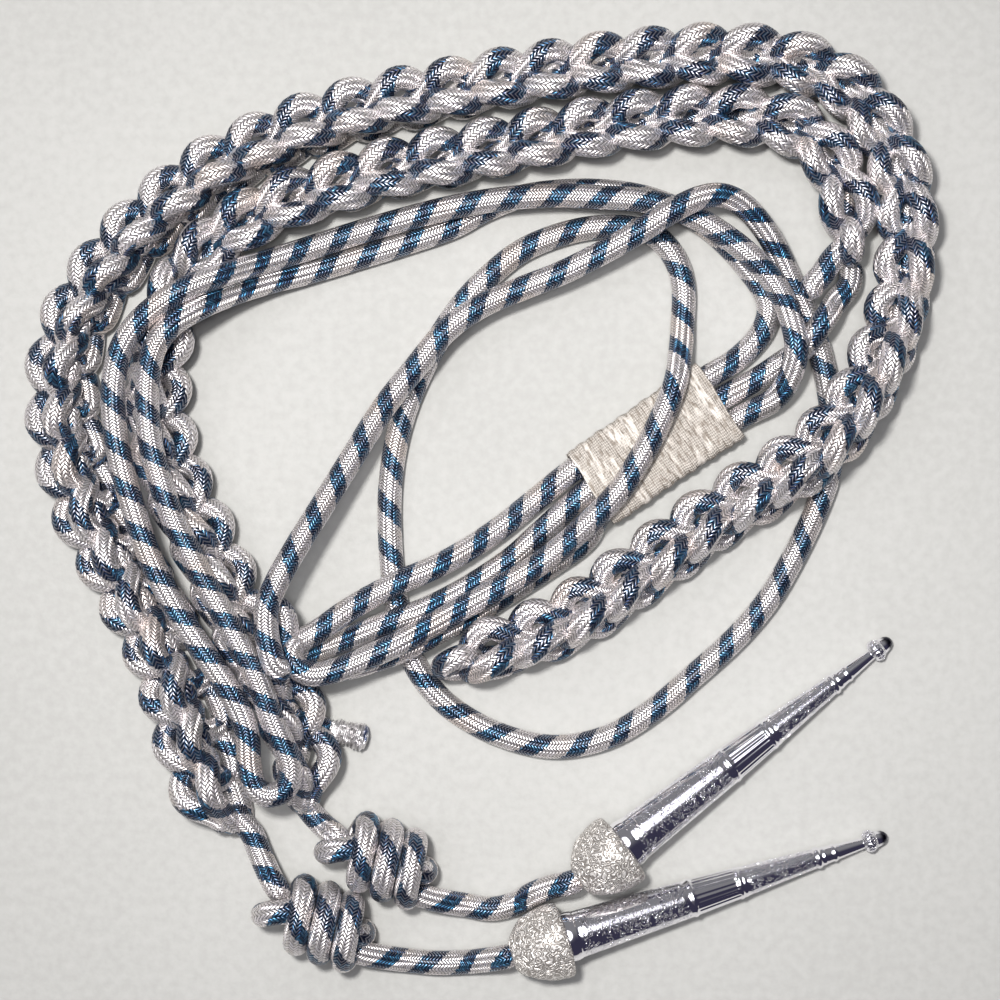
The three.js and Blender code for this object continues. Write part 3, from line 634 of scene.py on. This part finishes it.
def plain_cord(node, rows):
    """A plain cord with its tucked ends."""
    rows = [*TUCK_IN.get(node, []), *rows, *TUCK_OUT.get(node, [])]
    path = eased(even(route(rows), CORD_STEP * MM), TIGHTEST_BEND * MM)
    path = even(path, CORD_STEP * MM)
    obj = tube("braided_" + node, path, 0.5 * CORD_D * MM, CORD_SIDES, braid)
    dress(obj, node)


CORDS = {
    "ring_cord": RING_CORD,
    "pair_cord": [
        *PAIR_CORD_IN, *through_band(BAND_SPACING), *PAIR_CORD,
        *reversed(through_band(-BAND_SPACING)), *PAIR_CORD_OUT,
    ],
    "tail_cord": [*TAIL_CORD, *reversed(through_band(0.0)), *TAIL_CORD_OUT],
    "tail_bight": TAIL_BIGHT,
    "foot_bight": FOOT_BIGHT,
    "long_plait_tail": LONG_PLAIT_TAIL,
    "short_plait_tail": SHORT_PLAIT_TAIL,
    "tag_cord_1": TAG_CORD_1,
    "tag_cord_2": TAG_CORD_2,
}
for node, rows in CORDS.items():
    plain_cord(node, rows)


# Plaits.


def plait_keys(stitches, hang):
    """Points of a plait's strand: stitches along it, then left and up in cord diameters."""
    keys = []
    for k in range(stitches - 1):
        keys += [(k + a, left, up) for a, left, up in [*LOOP, LOOP_HEAD]]
        keys += [(k + a, -left, up) for a, left, up in reversed(LOOP)]
        drop = max(0.0, hang * (1 - k / LOOSE_STITCHES))
        back = BACK_BUMP if k < stitches - 2 else LAST_END
        keys += [(k + a, left, up - drop) for a, left, up in back]
    for k in range(2 * stitches - 4, 0, -1):
        keys.append((0.5 * k, HEART_SWAY * (-1) ** k, HEART_LEVEL))
    keys = np.array(keys)
    keys[:, 0] = np.clip(keys[:, 0] + LOOP_SHIFT, 0, stitches)
    keys[:, 2] = keys[:, 2] * LOOP_SQUASH + LOOP_LIFT
    return keys


def plait(node, rows, hang):
    """The strand of one plait, laid loop after loop along the plait's middle."""
    table = np.array(rows, float)
    middle = spline(np.column_stack([table[:, :2], np.zeros(len(table))]), PLAIT_STEPS)
    share = np.linspace(0, len(table) - 1, len(middle))
    level, breadth, roll = (np.interp(share, range(len(table)), table[:, k]) for k in (2, 3, 4))
    s = arc(middle)
    stitches = round(s[-1] / STITCH)
    pitch = s[-1] / stitches
    scale = (pitch / CORD_D, 1, 1)
    local = spline(plait_keys(stitches, hang) * scale, LOOP_STEPS) / scale
    at = local[:, 0] * pitch
    x, y = np.interp(at, s, middle[:, 0]), np.interp(at, s, middle[:, 1])
    tangent = unit(np.gradient(middle[:, :2], axis=0))
    tx, ty = np.interp(at, s, tangent[:, 0]), np.interp(at, s, tangent[:, 1])
    size = np.hypot(tx, ty)
    tx, ty = tx / size, ty / size
    lift, wide, turn = (np.interp(at, s, q) for q in (level, breadth, np.radians(roll)))
    left, up = local[:, 1] * CORD_D * wide, local[:, 2] * CORD_D
    side, rise = np.array(PLAIT_SECTION).T
    lowest = np.min(
        rise * PLAIT_DEPTH * np.cos(turn)[:, None]
        - 0.5 * side * PLAIT_BREADTH * wide[:, None] * np.sin(turn)[:, None], axis=1,
    )
    across = left * np.cos(turn) + up * np.sin(turn)
    height = up * np.cos(turn) - left * np.sin(turn) - lowest + lift * CORD_D
    height = np.maximum(height, STRAND_RADIUS)
    path = even(np.stack([x - ty * across, y + tx * across, height], 1) * MM, STRAND_STEP * MM)
    obj = tube(
        "plaited_" + node, path, STRAND_RADIUS * MM, STRAND_SIDES, plait_braid, lying=False
    )
    dress(obj, node)


plait("long_plait", LONG_PLAIT, HANG_LONG)
plait("short_plait", SHORT_PLAIT, HANG_SHORT)


# Knots.

KNOT_PITCH = 6.15        # along the knot from one turn to the next, mm
KNOT_RUNS = 3.05         # turns
KNOT_LEAN = 4.0          # by which the turns' own axis is off the knot's heading, degrees
KNOT_START = -100        # where the first turn starts, degrees
KNOT_TURN_STEP = 15      # from one point of a turn to the next, degrees
KNOT_SHIFT = 1.0         # of the turns towards the far end, mm
KNOT_ROUNDING = 0.10     # share by which the turns at the ends are smaller
KNOT_STEPS = 8
KNOT_SIDES = 18
# On the knot's own axes, in millimetres: the bight before the turns and the end hidden in them.
BIGHT = [
    (-1.0, 0.5, 1.5), (-6.0, 1.0, 4.2), (-10.4, -0.6, 5.4), (-13.2, -2.6, 3.6),
    (-13.8, -3.4, 0.0), (-12.2, -3.0, -4.2),
]
CORE = [
    (4.0, -1.8, -1.4), (-4.0, -2.0, 1.0), (-7.5, 0.6, 1.6), (-3.0, 2.2, -1.6), (1.0, 2.0, 0.6),
]


def knot(node, x, y, heading):
    """One cord: a small bight at the end where the cord comes in, then turns side by side."""
    carry = turned_place(x, y, 0.5 * KNOT_D, heading - KNOT_LEAN)
    orbit = 0.5 * (KNOT_D - CORD_D)
    turn = np.radians(np.arange(KNOT_START, 360 * KNOT_RUNS + KNOT_START, KNOT_TURN_STEP))
    share = (turn - turn[0]) / (turn[-1] - turn[0])
    along = (share - 0.5) * KNOT_RUNS * KNOT_PITCH + KNOT_SHIFT
    reach = orbit * (1 - KNOT_ROUNDING * (2 * share - 1) ** 2)
    wound = np.stack([along, reach * np.cos(turn), reach * np.sin(turn)], 1)
    end_x, end_y, end_z = wound[-1]
    close = [
        (end_x + 0.6, end_y * 0.6, end_z * 0.55), (end_x - 1.0, 0.6, 1.6), (end_x - 5.0, 1.6, 1.2),
    ]
    path = spline(carry(np.vstack([BIGHT, wound, close, CORE])), KNOT_STEPS)
    path = even(path, CORD_STEP * MM)
    path[:, 2] = np.maximum(path[:, 2], 0.5 * CORD_D * MM)
    obj = tube("turns_" + node, path, 0.5 * CORD_D * MM, KNOT_SIDES, plait_braid, lying=False)
    dress(obj, node)


for node, (x, y, heading) in KNOTS.items():
    knot(node, x, y, heading)


# Caps and tags.

CAP_STEP, CAP_SIDES = 0.35, 96
TAG_STEP, TAG_SIDES = 0.30, 132
HALF_CAP = 0.5 * CAP_D
HALF_TAG = 0.5 * TAG_BASE_D
NET_BUMP = 0.00030
CHASED_BUMP = 0.00044
CHASED_SIZE = 4.2        # radius at which the ornament is laid round the tag, mm
# Where the ornament comes in, is full, begins to end and has ended, as shares of the length.
CHASED_ZONES = [
    (0.035, 0.06, 0.36, 0.375), (0.555, 0.57, 0.765, 0.775), (0.924, 0.927, 0.958, 0.965),
]
DARK_DOME = (0.970, 0.985)

FLUTES = 22
FLUTE_DEPTH = 0.16
FLUTED = (0.392, 0.530)  # the belt's ends, as shares of the length
FLUTE_EDGE = 0.008
COLLAR_PLACE, COLLAR_REACH = 0.943, 0.016
COLLAR_NICKS, NICK_DEPTH = 18, 0.10
# Rings round the tag: share of the length, half width and height in millimetres.
RINGS = [
    (0.012, 1.10, 0.18), (0.388, 0.55, 0.32), (0.533, 0.55, 0.30), (0.548, 0.35, 0.14),
    (0.781, 0.60, 0.42), (0.800, 0.35, 0.16), (0.832, 0.45, 0.30),
]
TAG_OUTLINE = [
    (0.0, 0.5), (0.0, HALF_TAG), (0.030 * TAG_LENGTH, HALF_TAG),
    (0.034 * TAG_LENGTH, 0.97 * HALF_TAG), (0.375 * TAG_LENGTH, 0.775 * HALF_TAG),
    (0.535 * TAG_LENGTH, 0.64 * HALF_TAG), (0.775 * TAG_LENGTH, 0.40 * HALF_TAG),
    (0.800 * TAG_LENGTH, 0.37 * HALF_TAG), (0.925 * TAG_LENGTH, 0.5 * TAG_NECK_D),
    (0.927 * TAG_LENGTH, 0.36 * TAG_COLLAR_D), (0.934 * TAG_LENGTH, 0.46 * TAG_COLLAR_D),
    (0.943 * TAG_LENGTH, 0.50 * TAG_COLLAR_D), (0.953 * TAG_LENGTH, 0.46 * TAG_COLLAR_D),
    (0.962 * TAG_LENGTH, 0.38 * TAG_COLLAR_D), (0.972 * TAG_LENGTH, 0.37 * BALL_D),
    (0.984 * TAG_LENGTH, 0.33 * BALL_D), (0.993 * TAG_LENGTH, 0.24 * BALL_D),
    (0.998 * TAG_LENGTH, 0.13 * BALL_D), (TAG_LENGTH, 0.02 * BALL_D),
]
CAP_OUTLINE = [
    (-14.1, 2.6), (-14.0, 3.4), (-13.2, 4.7), (-11.8, 6.1), (-9.6, 7.7), (-6.8, 8.75),
    (-4.2, 9.25), (-2.2, 9.40), (-0.9, 9.20), (-0.2, 8.60), (0.0, 7.6), (0.0, 5.4),
]


def net_material():
    """Pale silver wire laid in small close squiggles."""
    n = new_material("silver_netting")
    place = n.own_place()
    wire = n.ramp(n.wave(n.times(n.noise(place, 520.0, 0.6, 0.35), 7.0)), 0.06, 0.44)
    metal = n.mix(n.noise(place, 300.0, 1.0), (0.78, 0.74, 0.70, 1), (0.95, 0.915, 0.88, 1))
    # Painted shade: the grooves between the wires, where the bump is low, are darkened.
    colour = n.mix(wire, (0.34, 0.31, 0.285, 1), metal)
    return n.finish(
        Base_Color=colour, Metallic=0.60, Roughness=0.36, Normal=n.bump(wire, NET_BUMP, 0.9)
    )


def tag_material():
    """Bright plate with chased leaves and dots; the neck and the plain zones stay smooth."""
    n = new_material("chased_plate")
    u, v = n.uv()
    share = n.math("DIVIDE", u, TAG_LENGTH)
    turn = n.times(v, 2 * math.pi)
    round_x = n.times(n.math("COSINE", turn), CHASED_SIZE)
    round_y = n.times(n.math("SINE", turn), CHASED_SIZE)
    place = n.point(u, round_x, round_y)
    leaf = n.noise(place, 0.42, 1.0, 1.4)
    scroll = n.ramp(n.wave(n.times(leaf, 3.2)), 0.10, 0.22)
    dots = n.ramp(n.add("ShaderNodeTexVoronoi", Vector=place, Scale=0.95), 0.34, 0.16)
    chased = n.math("MAXIMUM", n.times(scroll, 0.8), dots)
    zone = n.plus(*(
        n.times(n.ramp(share, start, full), n.ramp(share, end, fading))
        for start, full, fading, end in CHASED_ZONES
    ))
    grain = n.noise(place, 2.2, 2.0)
    height = n.times(n.plus(n.times(chased, 0.75), n.times(grain, 0.05)), zone)
    ground = n.times(zone, n.minus(1.0, chased))
    colour = n.mix(ground, (0.95, 0.94, 0.98, 1), (0.80, 0.79, 0.86, 1))
    colour = n.mix(n.ramp(share, *DARK_DOME), colour, (0.035, 0.035, 0.05, 1))
    rough = n.plus(0.06, n.times(zone, 0.05))
    return n.finish(
        Base_Color=colour, Metallic=1.0, Roughness=rough, Normal=n.bump(height, CHASED_BUMP)
    )


def bead(along, at, half, lift):
    """A half-round ring that stands out by lift and reaches half to each side."""
    return lift * np.sqrt(np.clip(1 - ((along - at) / half) ** 2, 0, 1))


def tag_swell(along, angle, reach):
    """The fluted belt, the rings and the nicked collar."""
    share = along / TAG_LENGTH
    belt = np.clip((share - FLUTED[0]) / FLUTE_EDGE, 0, 1)
    belt = belt * np.clip((FLUTED[1] - share) / FLUTE_EDGE, 0, 1)
    flutes = -FLUTE_DEPTH * belt * (0.5 + 0.5 * np.cos(FLUTES * angle))
    rings = sum(bead(along, at * TAG_LENGTH, half, lift) for at, half, lift in RINGS)
    collar = np.clip(1 - np.abs(share - COLLAR_PLACE) / COLLAR_REACH, 0, 1)
    return flutes + rings + NICK_DEPTH * collar * np.cos(COLLAR_NICKS * angle)


def cap_swell(along, angle, reach):
    """The soft, slightly uneven roundness of a wrapped cap."""
    return 0.16 * np.sin(3 * angle + 0.5 * along) + 0.10 * np.sin(7 * angle - 0.9 * along)


netting = net_material()
plate = tag_material()
for number, (base_x, base_y, tip_x, tip_y) in TAGS.items():
    run = math.hypot(tip_x - base_x, tip_y - base_y)
    carry = turned_place(
        base_x, base_y, HALF_CAP, math.degrees(math.atan2(tip_y - base_y, tip_x - base_x)),
        math.degrees(math.asin(0.5 * (CAP_D - BALL_D) / run)),
    )
    cap = turned(
        f"wired_cap_{number}", CAP_OUTLINE, CAP_STEP, CAP_SIDES, carry, netting, cap_swell
    )
    dress(cap, f"net_cap_{number}")
    tag = turned(
        f"chased_tag_{number}", TAG_OUTLINE, TAG_STEP, TAG_SIDES, carry, plate, tag_swell
    )
    dress(tag, f"tag_{number}")


# Ribbon band.

BAND_AROUND = 120        # points round the band
BAND_STATIONS = 170
BAND_SQUARE = 0.42       # the lower, the squarer the band's section
BAND_FLARE = 0.05        # share by which it is wider at the far mouth
MOUTH_SHARE = 0.93       # breadth inside a mouth, as a share of the breadth outside
SEAM = 0.3               # what v gains from the last point round the band to the first, mm
RIBBON_BUMP = 0.00026
# Where along the band a pleat lies, its half width and its height, in millimetres.
PLEATS = [
    (-18.2, 0.7, 0.30), (-15.6, 1.1, 0.45), (-12.9, 0.8, 0.30), (-10.2, 1.4, 0.50),
    (-7.0, 0.8, 0.25), (-3.6, 1.2, 0.40), (0.4, 0.9, 0.30), (3.6, 1.3, 0.50), (6.8, 0.8, 0.32),
    (9.6, 1.2, 0.55), (12.4, 0.8, 0.35), (14.8, 1.2, 0.55), (17.6, 0.9, 0.40),
]


def ribbon_material():
    """Silver gauze: fine ribs round the bundle, shiny pleats and woven stretches between them."""
    n = new_material("silver_ribbon")
    u, v = n.uv()
    shine = n.ramp(n.noise(n.point(n.times(u, 0.32), n.times(v, 0.06)), 1.0, 2.0), 0.50, 0.62)
    weave = n.plus(n.wave(n.times(u, 1.9)), n.wave(n.times(v, 1.5)))
    crinkle = n.noise(n.point(n.times(u, 1.3), n.times(v, 0.35)), 1.0, 3.0)
    woven = n.times(weave, n.minus(1.0, n.times(shine, 0.85)))
    height = n.plus(woven, n.times(crinkle, 3.4))
    # Painted shade: the low ground between the woven threads is darkened.
    colour = n.mix(weave, (0.22, 0.195, 0.17, 1), (0.66, 0.61, 0.555, 1))
    colour = n.mix(n.times(shine, 0.8), colour, (0.60, 0.56, 0.515, 1))
    # Painted shade: the hollows of the crinkle, where the bump is lowest, are darkened.
    colour = n.mix(n.ramp(crinkle, 0.52, 0.34), colour, (0.25, 0.215, 0.18, 1))
    rough = n.minus(0.66, n.times(shine, 0.10))
    return n.finish(
        Base_Color=colour, Metallic=0.22, Roughness=rough, Normal=n.bump(height, RIBBON_BUMP)
    )


def squared(wave):
    """A sine or cosine pressed outwards, so that a circle becomes a rounded rectangle."""
    return np.sign(wave) * np.abs(wave) ** BAND_SQUARE


def ribbon():
    """The sleeve with its pleats: u is the distance along it, v the distance round it, mm."""
    half = BAND_SPACING + 0.5 * CORD_D + CLEARANCE + BAND_WALL
    top = CORD_D + 2 * CLEARANCE + 2 * BAND_WALL
    turn = np.linspace(0, 2 * np.pi, BAND_AROUND, endpoint=False)
    side, rise = squared(np.cos(turn)), squared(np.sin(turn))
    stations = np.linspace(-0.5 * BAND_LENGTH, 0.5 * BAND_LENGTH, BAND_STATIONS)
    z = 0.5 * top * (1 + rise)
    girth = np.concatenate([[0], np.cumsum(np.hypot(np.diff(half * side), np.diff(z)))])
    rings = []
    for where in stations:
        share = where / (0.5 * BAND_LENGTH)
        flare = 1 + BAND_FLARE * max(0.0, share) ** 3
        wander = 0.5 * np.sin(girth / 5.1) + 0.3 * np.sin(girth / 2.2 + 0.14 * where)
        puff = sum(h * np.exp(-(((where + wander - at) / w) ** 2)) for at, w, h in PLEATS)
        puff = puff * np.clip(z / 1.5, 0, 1)
        rings.append(np.stack([
            where + 0.35 * np.sin(girth / 4.0) * abs(share) ** 6,
            half * flare * side + puff * side * np.abs(side), z + puff * np.clip(rise, 0, 1),
        ], 1))
    for ring in (rings[-1], rings[0]):
        x, y, z = ring.T
        rings.append(np.stack([x, MOUTH_SHARE * y, BAND_WALL + z * (1 - 2 * BAND_WALL / top)], 1))
    along = [*stations, stations[-1], stations[0]]
    around = [*girth, girth[-1] + SEAM]
    faces, uvs = [], []
    for r in range(len(rings)):
        a, b = r, (r + 1) % len(rings)
        for i in range(BAND_AROUND):
            j = (i + 1) % BAND_AROUND
            row_a, row_b = a * BAND_AROUND, b * BAND_AROUND
            faces.append((row_a + i, row_a + j, row_b + j, row_b + i))
            v0, v1 = around[i], around[i + 1]
            uvs += [(along[a], v0), (along[a], v1), (along[b], v1), (along[b], v0)]
    x, y, heading = BAND_PLACE
    points = turned_place(x, y, 0, heading)(np.vstack(rings))
    obj = make_mesh("gauze_band", points, faces, uvs, ribbon_material())
    dress(obj, "ribbon_band")


ribbon()


# Whipped stub.

STUB_STEP, STUB_SIDES = 0.14, 60
COIL_PITCH = 0.95
WHIPPING_BUMP = 0.0006
STUB_OUTLINE = [
    (-1.6, 0.8), (-1.4, 2.1), (0.0, 2.4), (2.0, 2.75), (4.5, 3.05), (7.0, 3.15), (8.4, 3.0),
    (9.1, 2.4), (9.4, 1.2), (9.45, 0.1),
]
STUB_CORD_RADIUS = 2.8
STUB_CORD = [
    (-49.6, -50.6, 1.35), (-45.4, -53.0, 1.05), (-41.4, -54.7, 0.72), (-37.4, -55.8, 0.57),
]


def stub_material():
    """Silver thread wound round the end, with a few dark blue ends at its tip."""
    n = new_material("whipping")
    u, v = n.uv()
    place = n.own_place()
    turns = n.wave(n.plus(n.times(u, 1.15), v))
    height = n.plus(turns, n.times(n.noise(place, 900.0, 2.0), 1.8))
    tip = n.times(n.ramp(u, 7.6, 8.6), n.ramp(n.noise(place, 260.0, 1.0), 0.45, 0.6))
    # Painted shade and glints: the thread is darkened where the bump is low and painted near white
    # where it is high.
    silver = n.mix(n.ramp(height, 0.6, 1.5), (0.40, 0.38, 0.39, 1), (0.97, 0.95, 0.95, 1))
    colour = n.mix(tip, silver, (0.02, 0.05, 0.16, 1))
    return n.finish(
        Base_Color=colour, Metallic=0.85, Roughness=0.30, Normal=n.bump(height, WHIPPING_BUMP)
    )


def stub_swell(along, angle, reach):
    """The turns of the whipping, wound over an uneven end."""
    coil = 0.20 * np.cos(2 * np.pi * along / COIL_PITCH + angle)
    lumpy = 0.22 * np.sin(2 * angle + 1.1 * along) + 0.12 * np.sin(5 * angle - 2.3 * along)
    return (coil + lumpy) * np.clip(reach, 0, 1)


stub_x, stub_y, stub_heading = STUB_PLACE
stub = turned(
    "whipped_stub", STUB_OUTLINE, STUB_STEP, STUB_SIDES,
    turned_place(stub_x, stub_y, 0.5 * STUB_D, stub_heading), stub_material(), stub_swell,
)
dress(stub, "stub_end")
inner_end = tube(
    "braided_stub", even(route(STUB_CORD), CORD_STEP * MM), STUB_CORD_RADIUS * MM, CORD_SIDES, braid
)
dress(inner_end, "stub_end")


# Floor, light and camera: places and sizes in metres, powers in watts, angles in degrees.

FLOOR_HALF = 4.0         # half its side
KEY_PLACE, KEY_SIZE, KEY_POWER = (-0.085, 0.09, 0.66), 0.07, 6.5
KEY_COLOUR = (1.0, 0.985, 0.965)
FILL_PLACE, FILL_SIZE, FILL_POWER = (0.03, 0.0, 0.90), 0.08, 9.0
FILL_ANGLE = 26
PANEL_WAY = (-0.24, 0.20, 0.95)
PANEL_EDGE = (0.885, 0.925)
SHADE_WAY = (0.62, -0.78, 0.0)
SHADE_EDGE = (-0.35, 0.45)
ROOM = (0.20, 0.20, 0.21, 1)
DARK_SIDE = (0.035, 0.033, 0.06, 1)
PANEL = (1.8, 1.8, 1.9, 1)

corners = [(-FLOOR_HALF, -FLOOR_HALF, 0), (FLOOR_HALF, -FLOOR_HALF, 0)]
corners += [(FLOOR_HALF, FLOOR_HALF, 0), (-FLOOR_HALF, FLOOR_HALF, 0)]
corner_uvs = [(0, 0), (1, 0), (1, 1), (0, 1)]
floor = make_mesh("paper", corners, [(0, 1, 2, 3)], corner_uvs, floor_material())

key = bpy.data.lights.new("key", "AREA")
key.shape = "DISK"
key.size, key.energy, key.color = KEY_SIZE, KEY_POWER, KEY_COLOUR
key_object = add_object("key", key)
key_object.location = KEY_PLACE
key_object.rotation_euler = (-Vector(KEY_PLACE)).to_track_quat("-Z", "Y").to_euler()

fill = bpy.data.lights.new("fill", "SPOT")
fill.energy, fill.shadow_soft_size = FILL_POWER, FILL_SIZE
fill.spot_size, fill.spot_blend = math.radians(FILL_ANGLE), 1.0
add_object("fill", fill).location = FILL_PLACE


def studio():
    """A dim room, darker to the lower right, with a soft panel overhead, up and to the left."""
    n = Nodes(bpy.data.worlds.new("studio"))
    way = n.add("ShaderNodeTexCoord", out="Generated")
    room = n.mix(n.ramp(n.dot(way, SHADE_WAY), *SHADE_EDGE), ROOM, DARK_SIDE)
    panel = n.ramp(n.dot(way, Vector(PANEL_WAY).normalized()), *PANEL_EDGE)
    return n.finish("Background", Color=n.mix(panel, room, PANEL))


bpy.context.scene.world = studio()
bpy.context.scene.view_settings.view_transform = "Standard"

camera_data = bpy.data.cameras.new("camera")
camera_data.sensor_width = SENSOR
camera_data.lens = SENSOR * VIEW_HEIGHT / VIEW_WIDTH
camera_data.clip_start = 0.01
camera = add_object("camera", camera_data)
camera.location = (VIEW_X * MM, VIEW_Y * MM, VIEW_HEIGHT * MM)
bpy.context.scene.camera = camera
